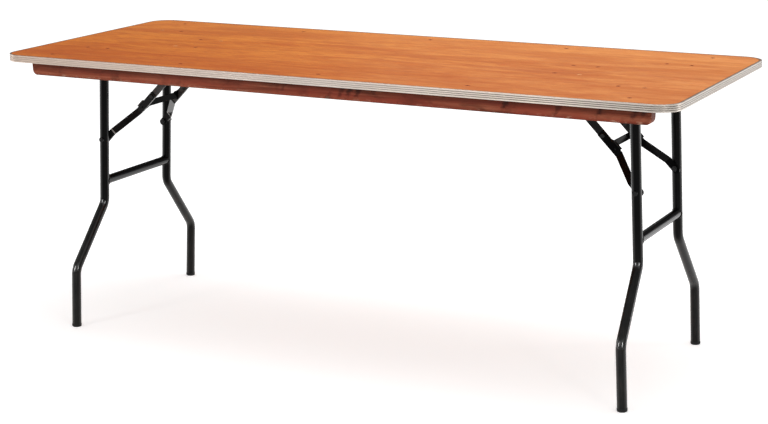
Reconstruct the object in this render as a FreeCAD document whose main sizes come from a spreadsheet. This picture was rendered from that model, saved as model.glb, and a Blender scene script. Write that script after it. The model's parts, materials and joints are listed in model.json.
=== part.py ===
import FreeCAD
import Part
import Sketcher
import math
import os
import re

# Driving sizes: lengths in millimetres, leg_splay in degrees, shares as plain ratios
SIZES = {
    "table_length": 1830,
    "table_width": 750,
    "table_height": 750,
    "board_thickness": 18,
    "corner_radius": 56,
    "band_thickness": 3.2,
    "groove_depth": 0.9,
    "groove_width": 1.5,
    "ridge_radius": 0.5,
    "rail_end_inset": 67,
    "rail_inset": 44,
    "rail_thickness": 30,
    "rail_depth": 38,
    "rail_end_radius": 14,
    "screw_end_margin": 57,
    "screw_length": 45,
    "screw_diameter": 4.5,
    "screw_point_length": 6,
    "screw_head_diameter": 11.5,
    "screw_head_depth": 3.5,
    "bolt_spacing": 64,
    "bolt_margin": 11,
    "bolt_gauge": 12.3,
    "bolt_diameter": 5,
    "bolt_head_diameter": 12,
    "bolt_head_depth": 3.5,
    "bolt_tail": 1.5,
    "nut_width": 8,
    "nut_height": 4,
    "bracket_thickness": 3,
    "flange_width": 26,
    "flange_radius": 4,
    "ear_length": 52,
    "ear_radius": 12.5,
    "pivot_drop": 18,
    "pivot_diameter": 8,
    "pivot_head_diameter": 14,
    "pivot_head_height": 3,
    "head_rounding": 2,
    "side_gap": 0.4,
    "running_gap": 0.05,
    "drill_gap": 0.1,
    "leg_inset": 167.5,
    "leg_splay": 2.7,
    "tube_diameter": 25,
    "tube_wall": 1.5,
    "tube_rise": 8,
    "tube_bend_radius": 42,
    "upper_spread": 152,
    "foot_clearance": 16.5,
    "upper_bend_share": 0.448,
    "lower_bend_share": 0.2255,
    "crossbar_share": 0.533,
    "crossbar_diameter": 24,
    "cap_diameter": 26,
    "cap_height": 8,
    "cap_rounding": 3.5,
    "cap_stem_length": 18,
    "brace_reach": 203,
    "brace_bolt_drop": 218,
    "brace_bolt_diameter": 8,
    "brace_head_diameter": 14,
    "brace_head_height": 4,
    "brace_nut_width": 13,
    "brace_nut_height": 5,
    "brace_bolt_tail": 1.5,
    "link_width": 19,
    "link_thickness": 3,
    "link_end_reach": 13.5,
    "link_round_share": 0.47,
    "link_corner_radius": 2,
    "joggle_start": 28,
    "joggle_end": 100,
    "joggle_radius": 4,
    "knee_spread": 80.8,
    "knee_tail": 10,
    "knee_diameter": 6,
    "knee_head_diameter": 12,
    "knee_head_height": 2.5,
    "lock_reach": 54,
    "lock_hole_reach": 44,
    "lock_hole_diameter": 5,
    "tab_length": 23,
    "tab_clearance": 1.2,
    "tie_reach": 31,
    "tie_width": 17,
    "tie_thickness": 3,
    "tie_flare_width": 27,
    "tie_flare_length": 14,
    "tie_flare_radius": 12,
}

# Heights and places shared by several pieces, measured in the frame of the left half
UNDERSIDE = "(table_height - board_thickness)"
PIVOT_Z = "(table_height - board_thickness - pivot_drop)"
LEG_X = "(leg_inset - table_length / 2)"
BRACE_X = f"({LEG_X} + brace_reach)"
BOLT_X = f"({LEG_X} - brace_bolt_drop * sin(leg_splay))"
BOLT_Z = f"({PIVOT_Z} - brace_bolt_drop * cos(leg_splay))"
CROSSBAR_Z = f"({PIVOT_Z} * crossbar_share)"
RAIL_END_X = "(table_length / 2 - rail_end_inset)"
RAIL_Y = "(table_width / 2 - rail_inset - rail_thickness / 2)"
FOOT_Y = "(table_width / 2 - rail_inset - rail_thickness - foot_clearance)"
LEG_EAR_Y = "(upper_spread + tube_diameter / 2 + side_gap + bracket_thickness / 2)"
UPPER_LINK_Y = "(knee_spread - side_gap / 2 - link_thickness / 2)"
BRACE_EAR_Y = f"({UPPER_LINK_Y} - link_thickness / 2 - side_gap - bracket_thickness / 2)"

# The brace stands straight when open and lies folded back on itself when the leg is in
BRACE_LENGTH = "sqrt(brace_bolt_drop^2 + brace_reach^2 + 2 * brace_bolt_drop * brace_reach * sin(leg_splay))"
BRACE_ANGLE = "atan2(brace_bolt_drop * cos(leg_splay); brace_reach + brace_bolt_drop * sin(leg_splay))"
KNEE = f"(({BRACE_LENGTH} + brace_bolt_drop - brace_reach) / 2)"

AXES = {"X": "vector(1; 0; 0)", "Y": "vector(0; 1; 0)", "Z": "vector(0; 0; 1)"}
SIDES = {"left": "0", "right": "180"}
RIDGES = 4
HEX_SIDES = 6

doc = FreeCAD.newDocument("BuffetTable")
sheet = doc.addObject("Spreadsheet::Sheet", "Sizes")
for line, (size_name, size) in enumerate(SIZES.items(), start=1):
    sheet.set(f"A{line}", size_name)
    sheet.set(f"B{line}", str(size))
    sheet.setAlias(f"B{line}", size_name)
doc.recompute()


def full(text):
    """Point every size name in an expression at the sheet."""
    return re.sub(r"\b[a-z]+_[a-z_]+\b", lambda found: "Sizes." + found.group(), text)


def value(text):
    result = sheet.evalExpression(full(text))
    return float(getattr(result, "Value", result))


def bind(target, prop, text):
    target.setExpression(prop, full(text))


def place(target, x, y, z, turns=(), side="left"):
    """Set a piece in the left half's frame; the right half is that frame turned half round."""
    spins = [f"rotation({AXES[axis]}; {angle})" for axis, angle in turns]
    turned = " * ".join(spins) or f"rotation({AXES['Z']}; 0)"
    half = f"placement(vector(0; 0; 0); rotation({AXES['Z']}; {SIDES[side]}))"
    bind(target, "Placement", f"{half} * placement(vector({x}; {y}; {z}); {turned})")


def row_name(side, hand):
    return "rear" if (hand > 0) == (side == "left") else "front"


def new_body(label):
    body = doc.addObject("PartDesign::Body", label)
    body.Label = label
    return body


def new_sketch(body, plane, lift=None):
    sketch = body.newObject("Sketcher::SketchObject", body.Name + "_sketch")
    support = next(item for item in body.Origin.OriginFeatures if item.Role == plane)
    sketch.AttachmentSupport = [(support, "")]
    sketch.MapMode = "FlatFace"
    if lift:
        bind(sketch, "AttachmentOffset.Base.z", lift)
    return sketch


def measure(sketch, kind, text, *elements):
    index = sketch.addConstraint(Sketcher.Constraint(kind, *elements, value(text)))
    bind(sketch, f"Constraints[{index}]", text)


def locate(sketch, element, end, x, y):
    """Fix one point of a sketch by its two distances from the sketch origin."""
    for kind, axis, text in (("DistanceX", -2, x), ("DistanceY", -1, y)):
        if text == "0":
            sketch.addConstraint(Sketcher.Constraint("PointOnObject", element, end, axis))
        else:
            measure(sketch, kind, text, -1, 1, element, end)


def circle(sketch, x, y, diameter):
    centre = FreeCAD.Vector(value(x), value(y), 0)
    ring = Part.Circle(centre, FreeCAD.Vector(0, 0, 1), value(diameter) / 2)
    index = sketch.addGeometry(ring, False)
    locate(sketch, index, 3, x, y)
    measure(sketch, "Diameter", diameter, index)


def corner_arc(before, corner, after, radius):
    """Give the arc that rounds a corner, its two tangent points and whether it turns left."""
    arriving = (corner - before).normalize()
    leaving = (after - corner).normalize()
    reach = radius * math.tan(arriving.getAngle(leaving) / 2)
    first = corner - arriving * reach
    last = corner + leaving * reach
    left = arriving.cross(leaving).z > 0
    inward = FreeCAD.Vector(-arriving.y, arriving.x, 0) * (1 if left else -1)
    centre = first + inward * radius
    ends = (first, last) if left else (last, first)
    angles = [math.atan2(point.y - centre.y, point.x - centre.x) for point in ends]
    ring = Part.Circle(centre, FreeCAD.Vector(0, 0, 1), radius)
    return Part.ArcOfCircle(ring, *angles), first, last, left


def outline(sketch, corners, closed=True):
    """Draw straight edges through the corners, with an arc where a corner names a radius."""
    points = [FreeCAD.Vector(value(corner[0]), value(corner[1]), 0) for corner in corners]
    count = len(points)
    arcs = {}
    for index, corner in enumerate(corners):
        if len(corner) > 2:
            following = points[(index + 1) % count]
            arcs[index] = corner_arc(points[index - 1], points[index], following, value(corner[2]))
    edges = []
    for index in range(count if closed else count - 1):
        following = (index + 1) % count
        start = arcs[index][2] if index in arcs else points[index]
        stop = arcs[following][1] if following in arcs else points[following]
        edges.append(sketch.addGeometry(Part.LineSegment(start, stop), False))
    for index, corner in enumerate(corners):
        before = edges[index - 1] if index or closed else None
        after = edges[index] if index < len(edges) else None
        if index in arcs:
            arc, _, _, left = arcs[index]
            bend = sketch.addGeometry(arc, False)
            first, last = (1, 2) if left else (2, 1)
            sketch.addConstraint(Sketcher.Constraint("Tangent", before, 2, bend, first))
            sketch.addConstraint(Sketcher.Constraint("Tangent", bend, last, after, 1))
            measure(sketch, "Radius", corner[2], bend)
            tip = sketch.addGeometry(Part.Point(points[index]), True)
            sketch.addConstraint(Sketcher.Constraint("PointOnObject", tip, 1, before))
            sketch.addConstraint(Sketcher.Constraint("PointOnObject", tip, 1, after))
            locate(sketch, tip, 1, corner[0], corner[1])
        elif after is None:
            locate(sketch, before, 2, corner[0], corner[1])
        else:
            if before is not None:
                sketch.addConstraint(Sketcher.Constraint("Coincident", before, 2, after, 1))
            locate(sketch, after, 1, corner[0], corner[1])


def rectangle(left, right, low, high, *radius):
    return [(left, low, *radius), (right, low, *radius), (right, high, *radius), (left, high, *radius)]


def pad(body, sketch, length, sides="Symmetric", reverse=False):
    feature = body.newObject("PartDesign::Pad", body.Name + "_pad")
    feature.Profile = sketch
    feature.SideType = sides
    feature.Reversed = reverse
    bind(feature, "Length", length)


def cut_through(body, sketch, sides="Symmetric", reverse=False):
    feature = body.newObject("PartDesign::Pocket", body.Name + "_cut")
    feature.Profile = sketch
    feature.Type = "ThroughAll"
    feature.SideType = sides
    feature.Reversed = reverse


def cut_down(body, sketch, depth):
    feature = body.newObject("PartDesign::Pocket", body.Name + "_drilling")
    feature.Profile = sketch
    bind(feature, "Length", depth)


def sweep(body, profile, path):
    feature = body.newObject("PartDesign::AdditivePipe", body.Name + "_sweep")
    feature.Profile = profile
    feature.Spine = (path, [])


def turned_piece(label, corners):
    """Spin a half outline, given as radius and height, about the upright axis."""
    body = new_body(label)
    sketch = new_sketch(body, "XZ_Plane")
    outline(sketch, corners)
    feature = body.newObject("PartDesign::Revolution", label + "_spin")
    feature.Profile = sketch
    feature.ReferenceAxis = (sketch, ["V_Axis"])
    return body


def cylinder(label, diameter, height):
    target = doc.addObject("Part::Cylinder", label)
    bind(target, "Radius", f"{diameter} / 2")
    bind(target, "Height", height)
    return target


def combine(kind, label, pieces):
    target = doc.addObject(kind, label)
    target.Label = label
    if kind == "Part::Compound":
        target.Links = pieces
    else:
        target.Shapes = pieces
    return target


def remove(label, base, tool):
    target = doc.addObject("Part::Cut", label)
    target.Label = label
    target.Base = base
    target.Tool = tool
    return target


def nut(label, width, height, hole):
    """A hexagon nut with its axis upright, standing on its origin."""
    block = doc.addObject("Part::Prism", label + "_block")
    block.Polygon = HEX_SIDES
    bind(block, "Circumradius", f"{width} / (2 * cos(180 / {HEX_SIDES}))")
    bind(block, "Height", height)
    return remove(label, block, cylinder(label + "_hole", hole, height))


nodes = []


def keep(target):
    nodes.append(target)
    return target


# Bracket fixing points: name, distance along the table, distance across it
bracket_holes = []
for family, reach, gauge_line in (
    ("leg", LEG_X, f"({LEG_EAR_Y} + bolt_gauge)"),
    ("brace", BRACE_X, f"({BRACE_EAR_Y} - bolt_gauge)"),
):
    for along in (-1, 1):
        for offset in (-1, 1):
            for across in (-1, 1):
                x = f"({along} * ({reach} + {offset} * bolt_spacing / 2))"
                y = f"({across} * {gauge_line})"
                bracket_holes.append((family, x, y))
screw_holes = []
for step in (-2, -1, 0, 1, 2):
    for across in (-1, 1):
        x = f"({step} / 2 * ({RAIL_END_X} - screw_end_margin))" if step else "0"
        screw_holes.append((x, f"({across} * {RAIL_Y})"))

# Plywood board, drilled for the rail screws and the bracket bolts with their flush heads
top = keep(new_body("plywood_top"))
half_length = "(table_length / 2 - band_thickness)"
half_width = "(table_width / 2 - band_thickness)"
sketch = new_sketch(top, "XY_Plane")
round_in = "(corner_radius - band_thickness)"
outline(sketch, rectangle(f"-{half_length}", half_length, f"-{half_width}", half_width, round_in))
pad(top, sketch, "board_thickness", "One side")
sketch = new_sketch(top, "XY_Plane")
for family, x, y in bracket_holes:
    circle(sketch, x, y, "(bolt_diameter + 2 * drill_gap)")
for x, y in screw_holes:
    circle(sketch, x, y, "(screw_diameter + 2 * drill_gap)")
cut_through(top, sketch, "One side", True)
sketch = new_sketch(top, "XY_Plane", "board_thickness - bolt_head_depth")
for family, x, y in bracket_holes:
    circle(sketch, x, y, "(bolt_head_diameter + 2 * drill_gap)")
cut_through(top, sketch, "One side", True)
sketch = new_sketch(top, "XY_Plane", "board_thickness - screw_head_depth")
for x, y in screw_holes:
    circle(sketch, x, y, "(screw_head_diameter + 2 * drill_gap)")
cut_through(top, sketch, "One side", True)
place(top, "0", "0", UNDERSIDE)

# Ribbed band round the rim of the board
band = keep(new_body("edge_band"))
path = new_sketch(band, "XY_Plane")
half_length = "(table_length / 2)"
half_width = "(table_width / 2)"
outline(path, rectangle(f"-{half_length}", half_length, f"-{half_width}", half_width, "corner_radius"))
inner = "(band_thickness - table_width / 2)"
outer = "(-table_width / 2)"
groove = "(groove_depth - table_width / 2)"
ribs = [(inner, "0"), (inner, "board_thickness"), (outer, "board_thickness", "ridge_radius")]
for step in range(RIDGES - 1, 0, -1):
    upper = f"(board_thickness * {step} / {RIDGES} + groove_width / 2)"
    lower = f"(board_thickness * {step} / {RIDGES} - groove_width / 2)"
    ribs += [(outer, upper, "ridge_radius"), (groove, upper)]
    ribs += [(groove, lower), (outer, lower, "ridge_radius")]
ribs.append((outer, "0", "ridge_radius"))
profile = new_sketch(band, "YZ_Plane")
outline(profile, ribs)
sweep(band, profile, path)
place(band, "0", "0", UNDERSIDE)

# Wooden rails under the long edges
for rail_name, across in (("front_rail", -1), ("rear_rail", 1)):
    rail = keep(new_body(rail_name))
    sketch = new_sketch(rail, "XZ_Plane")
    outline(sketch, [
        (f"-{RAIL_END_X}", "-rail_depth", "rail_end_radius"),
        (RAIL_END_X, "-rail_depth", "rail_end_radius"),
        (RAIL_END_X, "0"),
        (f"-{RAIL_END_X}", "0"),
    ])
    pad(rail, sketch, "rail_thickness")
    sketch = new_sketch(rail, "XY_Plane")
    for x in dict.fromkeys(hole[0] for hole in screw_holes):
        circle(sketch, x, "0", "(screw_diameter + 2 * drill_gap)")
    cut_down(rail, sketch, "screw_length - board_thickness + drill_gap")
    place(rail, "0", f"{across} * {RAIL_Y}", UNDERSIDE)

# Screws through the board into the rails, heads flush with the board
screws = []
for number, (x, y) in enumerate(screw_holes, start=1):
    name = f"rail_screw_{number}"
    head = cylinder(name + "_head", "screw_head_diameter", "screw_head_depth")
    place(head, x, y, "table_height - screw_head_depth")
    shank = cylinder(name + "_shank", "screw_diameter", "screw_length - screw_point_length")
    place(shank, x, y, "table_height - screw_length + screw_point_length")
    point = doc.addObject("Part::Cone", name + "_point")
    bind(point, "Radius1", "0")
    bind(point, "Radius2", "screw_diameter / 2")
    bind(point, "Height", "screw_point_length")
    place(point, x, y, "table_height - screw_length")
    screws.append(combine("Part::MultiFuse", name, [head, shank, point]))
keep(combine("Part::Compound", "rail_screws", screws))

# Bolts and nuts that hold the brackets to the board
for wanted in ("leg", "brace"):
    bolts = []
    nuts = []
    spots = [(x, y) for family, x, y in bracket_holes if family == wanted]
    for number, (x, y) in enumerate(spots, start=1):
        name = f"{wanted}_bracket_bolt_{number}"
        head = cylinder(name + "_head", "bolt_head_diameter", "bolt_head_depth")
        place(head, x, y, "table_height - bolt_head_depth")
        under = "(bracket_thickness + nut_height + bolt_tail)"
        shank = cylinder(name + "_shank", "bolt_diameter", f"board_thickness + {under}")
        place(shank, x, y, f"{UNDERSIDE} - {under}")
        bolts.append(combine("Part::MultiFuse", name, [head, shank]))
        name = f"{wanted}_bracket_nut_{number}"
        ring = nut(name, "nut_width", "nut_height", "(bolt_diameter + 2 * running_gap)")
        place(ring, x, y, f"{UNDERSIDE} - bracket_thickness - nut_height")
        nuts.append(ring)
    keep(combine("Part::Compound", f"{wanted}_bracket_bolts", bolts))
    keep(combine("Part::Compound", f"{wanted}_bracket_nuts", nuts))


def bracket(label):
    """An angle plate: an upright ear with the pivot hole, and a flange reaching to its +Y side."""
    body = new_body(label)
    sketch = new_sketch(body, "XZ_Plane")
    outline(sketch, [
        ("-ear_radius", "-(pivot_drop + ear_radius)", "ear_radius"),
        ("ear_radius", "-(pivot_drop + ear_radius)", "ear_radius"),
        ("ear_length / 2", "0"),
        ("-ear_length / 2", "0"),
    ])
    pad(body, sketch, "bracket_thickness")
    half = "(bolt_spacing / 2 + bolt_margin)"
    sketch = new_sketch(body, "XY_Plane")
    outline(sketch, [
        (f"-{half}", "-bracket_thickness / 2"),
        (half, "-bracket_thickness / 2"),
        (half, "flange_width - bracket_thickness / 2", "flange_radius"),
        (f"-{half}", "flange_width - bracket_thickness / 2", "flange_radius"),
    ])
    pad(body, sketch, "bracket_thickness", "One side", True)
    sketch = new_sketch(body, "XZ_Plane")
    circle(sketch, "0", "-pivot_drop", "(pivot_diameter + 2 * running_gap)")
    cut_through(body, sketch)
    sketch = new_sketch(body, "XY_Plane")
    circle(sketch, "-bolt_spacing / 2", "bolt_gauge", "(bolt_diameter + 2 * drill_gap)")
    circle(sketch, "bolt_spacing / 2", "bolt_gauge", "(bolt_diameter + 2 * drill_gap)")
    cut_through(body, sketch)
    return body


def rivet(label, diameter, head_diameter, head_height, grip):
    """A two-headed rivet: one head seated on its origin, the other at the far end of its grip."""
    return turned_piece(label, [
        ("0", f"-({grip} + {head_height})"),
        (f"{head_diameter} / 2", f"-({grip} + {head_height})", "head_rounding"),
        (f"{head_diameter} / 2", f"-{grip}"),
        (f"{diameter} / 2", f"-{grip}"),
        (f"{diameter} / 2", "0"),
        (f"{head_diameter} / 2", "0"),
        (f"{head_diameter} / 2", head_height, "head_rounding"),
        ("0", head_height),
    ])


def headed_pin(label, diameter, head_diameter, head_height, grip):
    """A pin with one head seated on its origin and a plain end."""
    return turned_piece(label, [
        ("0", f"-{grip}"),
        (f"{diameter} / 2", f"-{grip}"),
        (f"{diameter} / 2", "0"),
        (f"{head_diameter} / 2", "0"),
        (f"{head_diameter} / 2", head_height, "head_rounding"),
        ("0", head_height),
    ])


def leg_tube(label):
    """A bent tube in the leg's own frame: pivot at the origin, tube running down at +Y."""
    body = new_body(label)
    bend_drop = f"({PIVOT_Z} * (1 - upper_bend_share) / cos(leg_splay))"
    foot_drop = f"({PIVOT_Z} * (1 - lower_bend_share) / cos(leg_splay))"
    end_drop = f"({PIVOT_Z} / cos(leg_splay) - cap_height)"
    path = new_sketch(body, "YZ_Plane")
    outline(path, [
        ("upper_spread", "tube_rise"),
        ("upper_spread", f"-{bend_drop}", "tube_bend_radius"),
        (FOOT_Y, f"-{foot_drop}", "tube_bend_radius"),
        (FOOT_Y, f"-{end_drop}"),
    ], False)
    profile = new_sketch(body, "XY_Plane", "tube_rise")
    circle(profile, "0", "upper_spread", "tube_diameter")
    circle(profile, "0", "upper_spread", "(tube_diameter - 2 * tube_wall)")
    sweep(body, profile, path)
    sketch = new_sketch(body, "XZ_Plane")
    circle(sketch, "0", "0", "(pivot_diameter + 2 * running_gap)")
    circle(sketch, "0", "-brace_bolt_drop", "(brace_bolt_diameter + 2 * running_gap)")
    cut_through(body, sketch)
    return body


def foot_cap(label):
    """A plug for the tube end in the leg's own frame, its sole cut level with the floor."""
    tilt = "(cap_diameter / 2 * tan(leg_splay))"
    body = turned_piece(label, [
        ("0", f"-(cap_height + {tilt})"),
        ("cap_diameter / 2", f"-(cap_height + {tilt})", "cap_rounding"),
        ("cap_diameter / 2", "0"),
        ("tube_diameter / 2 - tube_wall - drill_gap", "0"),
        ("tube_diameter / 2 - tube_wall - drill_gap", "cap_stem_length"),
        ("0", "cap_stem_length"),
    ])
    sketch = new_sketch(body, "XZ_Plane")
    outline(sketch, [
        ("-cap_diameter", "-(2 * cap_height)"),
        ("cap_diameter", "-(2 * cap_height)"),
        ("cap_diameter", "cap_diameter * tan(leg_splay) - cap_height"),
        ("-cap_diameter", "-cap_diameter * tan(leg_splay) - cap_height"),
    ])
    cut_through(body, sketch)
    return body


def lower_link(label):
    """The joggled strap from the leg bolt at the origin to the knee, lying at +Y."""
    strip = new_body(label + "_strip")
    leg_y = "(upper_spread - tube_diameter / 2 - side_gap)"
    knee_y = "(knee_spread + side_gap / 2 + link_thickness)"
    slope = f"atan2({leg_y} - {knee_y}; joggle_end - joggle_start)"
    shift = f"(link_thickness * tan({slope} / 2))"
    wide = "(joggle_radius + link_thickness)"
    stop = f"({KNEE} + knee_tail)"
    sketch = new_sketch(strip, "XY_Plane")
    outline(sketch, [
        ("-link_end_reach", leg_y),
        ("-link_end_reach", f"{leg_y} - link_thickness"),
        (f"joggle_start - {shift}", f"{leg_y} - link_thickness", "joggle_radius"),
        (f"joggle_end - {shift}", f"{knee_y} - link_thickness", wide),
        (stop, f"{knee_y} - link_thickness"),
        (stop, knee_y),
        ("joggle_end", knee_y, "joggle_radius"),
        ("joggle_start", leg_y, wide),
    ])
    pad(strip, sketch, "link_width")
    blank = new_body(label + "_blank")
    sketch = new_sketch(blank, "XZ_Plane")
    round_end = "(link_width * link_round_share)"
    outline(sketch, [
        ("-link_end_reach", "-link_width / 2", round_end),
        (stop, "-link_width / 2", "link_corner_radius"),
        (stop, "link_width / 2", "link_corner_radius"),
        ("-link_end_reach", "link_width / 2", round_end),
    ])
    circle(sketch, "0", "0", "(brace_bolt_diameter + 2 * running_gap)")
    circle(sketch, f"{KNEE} - lock_hole_reach", "0", "lock_hole_diameter")
    circle(sketch, KNEE, "0", "(knee_diameter + 2 * running_gap)")
    pad(blank, sketch, "2 * upper_spread")
    return combine("Part::MultiCommon", label, [strip, blank])


def upper_link(label, outward):
    """The flat strap from the knee to the top, with a stop tab bent over the lower strap."""
    body = new_body(label)
    start = f"({KNEE} - lock_reach)"
    stop = f"({BRACE_LENGTH} + link_end_reach)"
    tab_low = "(link_width / 2 + tab_clearance)"
    tab_high = "(link_width / 2 + tab_clearance + link_thickness)"
    round_end = "(link_width * link_round_share)"
    sketch = new_sketch(body, "XZ_Plane")
    outline(sketch, [
        (start, "-link_width / 2", "link_corner_radius"),
        (stop, "-link_width / 2", round_end),
        (stop, "link_width / 2", round_end),
        (f"{start} + tab_length", "link_width / 2"),
        (f"{start} + tab_length", tab_high),
        (start, tab_high),
    ])
    circle(sketch, f"{KNEE} - lock_hole_reach", "0", "lock_hole_diameter")
    circle(sketch, KNEE, "0", "(knee_diameter + 2 * running_gap)")
    circle(sketch, BRACE_LENGTH, "0", "(pivot_diameter + 2 * running_gap)")
    pad(body, sketch, "link_thickness")
    sketch = new_sketch(body, "XZ_Plane")
    outline(sketch, rectangle(start, f"{start} + tab_length", tab_low, tab_high))
    pad(body, sketch, "link_thickness * 3 / 2 + side_gap", "One side", outward > 0)
    return body


for side in SIDES:
    leg_turn = ("Y", "leg_splay")
    link_turn = ("Y", f"-{BRACE_ANGLE}")
    leg_pivots = []
    brace_pivots = []
    inner_rivets = []
    for hand in (1, -1):
        row = row_name(side, hand)
        flip = ("Z", "0") if hand > 0 else ("Z", "180")
        back = ("Z", "180") if hand > 0 else ("Z", "0")
        across = ("X", "-90") if hand > 0 else ("X", "90")
        inward = ("X", "90") if hand > 0 else ("X", "-90")

        # Brackets under the board, with the rivets the legs and braces turn on
        plate = keep(bracket(f"{side}_{row}_leg_bracket"))
        place(plate, LEG_X, f"{hand} * {LEG_EAR_Y}", UNDERSIDE, [flip], side)
        plate = keep(bracket(f"{side}_{row}_brace_bracket"))
        place(plate, BRACE_X, f"{hand} * {BRACE_EAR_Y}", UNDERSIDE, [back], side)
        grip = "(bracket_thickness + tube_diameter + 2 * side_gap)"
        pin = rivet(f"{side}_{row}_leg_pivot", "pivot_diameter", "pivot_head_diameter",
                    "pivot_head_height", grip)
        place(pin, LEG_X, f"{hand} * ({LEG_EAR_Y} + bracket_thickness / 2)", PIVOT_Z, [across], side)
        leg_pivots.append(pin)
        grip = "(bracket_thickness + link_thickness + 2 * side_gap)"
        pin = rivet(f"{side}_{row}_brace_pivot", "pivot_diameter", "pivot_head_diameter",
                    "pivot_head_height", grip)
        place(pin, BRACE_X, f"{hand} * ({BRACE_EAR_Y} - bracket_thickness / 2)", PIVOT_Z, [inward], side)
        brace_pivots.append(pin)

        # Leg tube with its plug, and the bolt and nut that carry the brace
        tube = keep(leg_tube(f"{side}_{row}_leg_tube"))
        place(tube, LEG_X, "0", PIVOT_Z, [leg_turn, flip], side)
        cap = keep(foot_cap(f"{side}_{row}_foot_cap"))
        end_drop = f"({PIVOT_Z} / cos(leg_splay) - cap_height)"
        cap_x = f"{LEG_X} - {end_drop} * sin(leg_splay)"
        cap_z = f"{PIVOT_Z} - {end_drop} * cos(leg_splay)"
        place(cap, cap_x, f"{hand} * {FOOT_Y}", cap_z, [leg_turn], side)
        clamp = "(tube_diameter + 2 * side_gap + link_thickness + brace_nut_height)"
        bolt = keep(headed_pin(f"{side}_{row}_brace_bolt", "brace_bolt_diameter", "brace_head_diameter",
                               "brace_head_height", f"({clamp} + brace_bolt_tail)"))
        seat = "(upper_spread + tube_diameter / 2)"
        place(bolt, BOLT_X, f"{hand} * {seat}", BOLT_Z, [across], side)
        ring = keep(nut(f"{side}_{row}_brace_nut", "brace_nut_width", "brace_nut_height",
                        "(brace_bolt_diameter + 2 * running_gap)"))
        place(ring, BOLT_X, f"{hand} * ({seat} - {clamp})", BOLT_Z, [across], side)

        # The two straps of the folding brace, each with its half of the knee rivet
        strap = keep(lower_link(f"{side}_{row}_lower_link"))
        tip = ("X", "0") if hand > 0 else ("X", "180")
        place(strap, BOLT_X, "0", BOLT_Z, [link_turn, tip], side)
        strap = keep(upper_link(f"{side}_{row}_upper_link", hand))
        place(strap, BOLT_X, f"{hand} * {UPPER_LINK_Y}", BOLT_Z, [link_turn], side)
        knee_x = f"{BOLT_X} + {KNEE} * cos({BRACE_ANGLE})"
        knee_z = f"{BOLT_Z} + {KNEE} * sin({BRACE_ANGLE})"
        pin = keep(headed_pin(f"{side}_{row}_knee_rivet", "knee_diameter", "knee_head_diameter",
                              "knee_head_height", "link_thickness"))
        outer_face = "(knee_spread + side_gap / 2 + link_thickness)"
        place(pin, knee_x, f"{hand} * {outer_face}", knee_z, [across], side)
        pin = headed_pin(f"{side}_{row}_inner_rivet", "knee_diameter", "knee_head_diameter",
                         "knee_head_height", "link_thickness")
        inner_face = f"({UPPER_LINK_Y} - link_thickness / 2)"
        place(pin, knee_x, f"{hand} * {inner_face}", knee_z, [inward], side)
        inner_rivets.append(pin)
    keep(combine("Part::Compound", f"{side}_leg_pivots", leg_pivots))
    keep(combine("Part::Compound", f"{side}_brace_pivots", brace_pivots))
    keep(combine("Part::Compound", f"{side}_inner_rivets", inner_rivets))

    # Crossbar between the leg tubes, its ends shaped to sit on them
    name = f"{side}_crossbar"
    bar_x = f"{LEG_X} - ({PIVOT_Z} - {CROSSBAR_Z}) * tan(leg_splay)"
    bar = cylinder(name + "_bar", "crossbar_diameter", "2 * upper_spread")
    place(bar, bar_x, "-upper_spread", CROSSBAR_Z, [("X", "-90")], side)
    hollow = cylinder(name + "_hollow", "(crossbar_diameter - 2 * tube_wall)", "2 * upper_spread")
    place(hollow, bar_x, "-upper_spread", CROSSBAR_Z, [("X", "-90")], side)
    tools = [hollow]
    for hand in (1, -1):
        tool = cylinder(f"{name}_seat_{row_name(side, hand)}", "tube_diameter", "2 * crossbar_diameter")
        low_x = f"{bar_x} - crossbar_diameter * sin(leg_splay)"
        low_z = f"{CROSSBAR_Z} - crossbar_diameter * cos(leg_splay)"
        place(tool, low_x, f"{hand} * upper_spread", low_z, [leg_turn], side)
        tools.append(tool)
    keep(remove(name, bar, combine("Part::MultiFuse", name + "_tools", tools)))

    # Flat tie welded between the two upper straps
    tie = keep(new_body(f"{side}_brace_tie"))
    span = f"({UPPER_LINK_Y} - link_thickness / 2)"
    neck = f"({span} - tie_flare_length)"
    sketch = new_sketch(tie, "YZ_Plane")
    outline(sketch, [
        (f"-{span}", "-tie_flare_width / 2"),
        (f"-{neck}", "-tie_width / 2", "tie_flare_radius"),
        (neck, "-tie_width / 2", "tie_flare_radius"),
        (span, "-tie_flare_width / 2"),
        (span, "tie_flare_width / 2"),
        (neck, "tie_width / 2", "tie_flare_radius"),
        (f"-{neck}", "tie_width / 2", "tie_flare_radius"),
        (f"-{span}", "tie_flare_width / 2"),
    ])
    pad(tie, sketch, "tie_thickness")
    tie_x = f"{BOLT_X} + ({KNEE} - tie_reach) * cos({BRACE_ANGLE})"
    tie_z = f"{BOLT_Z} + ({KNEE} - tie_reach) * sin({BRACE_ANGLE})"
    place(tie, tie_x, "0", tie_z, [], side)

doc.recompute()

for item in doc.Objects:
    if "Invalid" in item.State or "Error" in item.State:
        raise RuntimeError(f"{item.Label} did not build: {item.State}")
for node in nodes:
    if node.Shape.isNull() or not node.Shape.isValid():
        raise RuntimeError(f"{node.Label} has no sound shape")

os.makedirs("parts", exist_ok=True)
for node in nodes:
    node.Shape.exportStep(os.path.join("parts", node.Label + ".step"))
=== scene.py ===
import json
import math

import bmesh
import bpy
from mathutils import Euler, Matrix, Vector


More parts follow.
